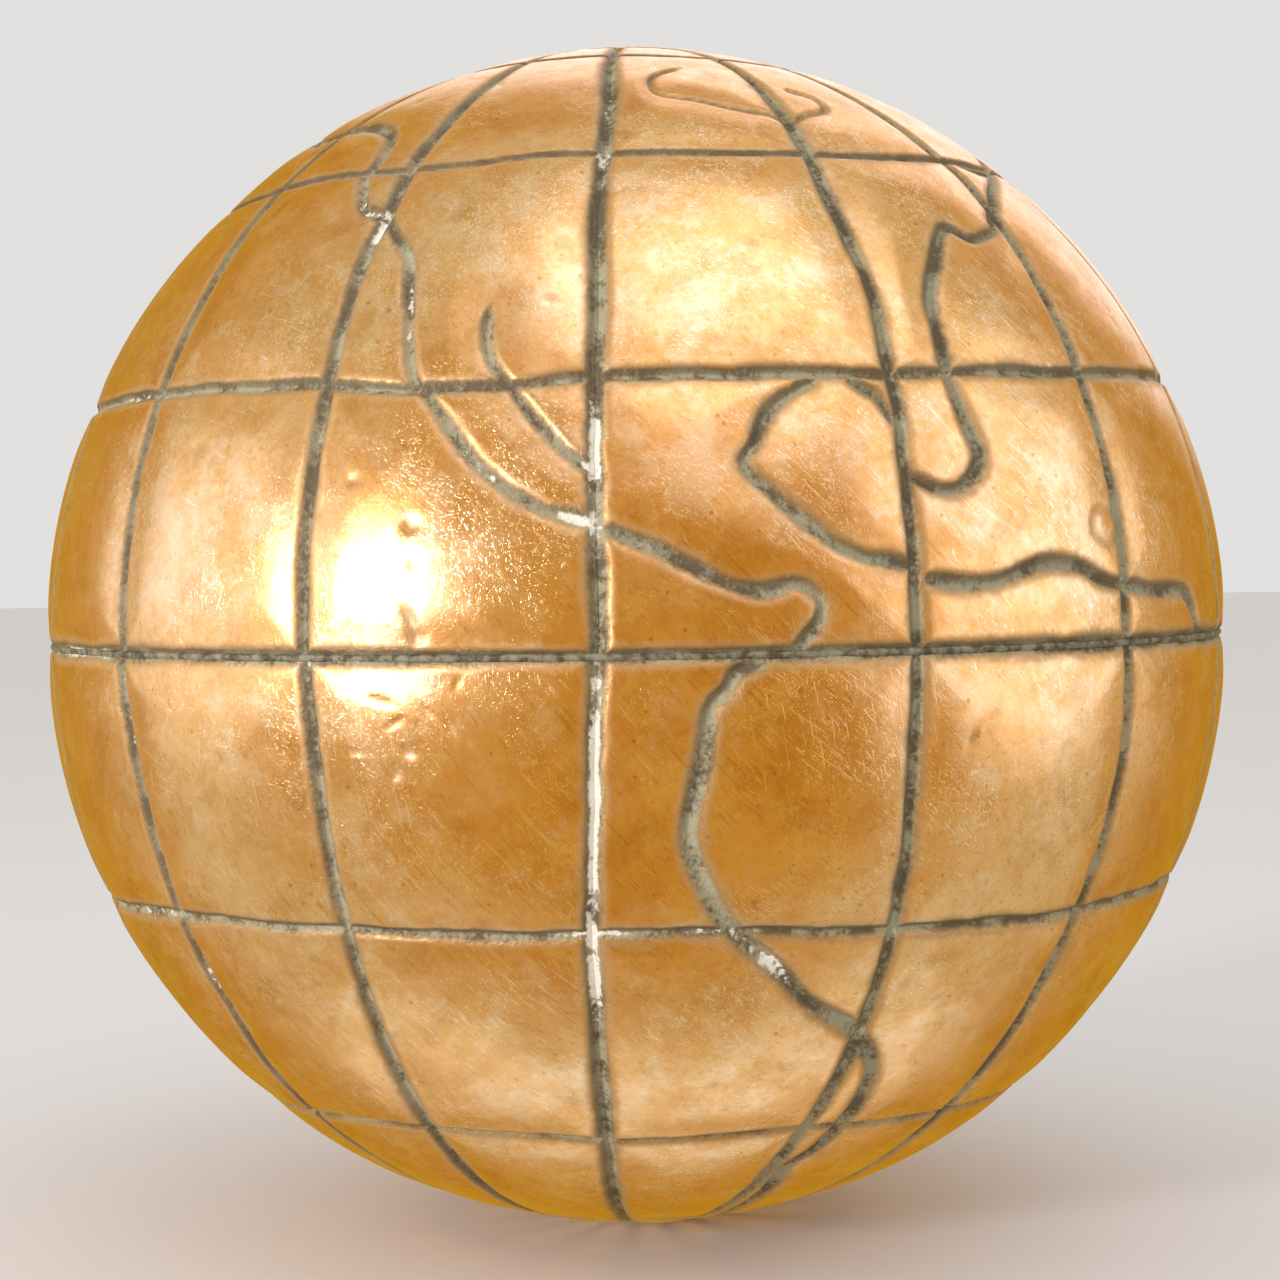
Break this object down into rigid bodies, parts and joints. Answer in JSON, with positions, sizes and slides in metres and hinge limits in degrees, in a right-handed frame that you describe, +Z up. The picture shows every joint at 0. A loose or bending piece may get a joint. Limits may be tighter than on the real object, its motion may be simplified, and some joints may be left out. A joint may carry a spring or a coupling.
{
  "type": "terrestrial globe ball",
  "caption": "Hollow copper globe ball with chased meridians, parallels and coastlines, bored pole to pole for an axis rod.",
  "frame": {"origin": "centre of the ball", "axes": "+Z up the polar axis to the north pole; -Y out through the face with the Americas; +X to the east of that face"},
  "size_m": [0.09, 0.09, 0.0898],
  "materials": {
    "shell_copper": "worn polish with brown tarnish, dull green-grey in the chased lines",
    "inner_copper": "dull, heat-darkened",
    "soft_solder": "dull grey, lumpy",
    "fitting_brass": "turned, worn polish"
  },
  "bodies": {
    "root": {"north_shell": "shell_copper", "south_shell": "shell_copper", "seam_solder": "soft_solder", "joint_ring": "inner_copper", "axle_tube": "fitting_brass", "north_pole_bush": "fitting_brass", "south_pole_bush": "fitting_brass"}
  },
  "joints": []
}
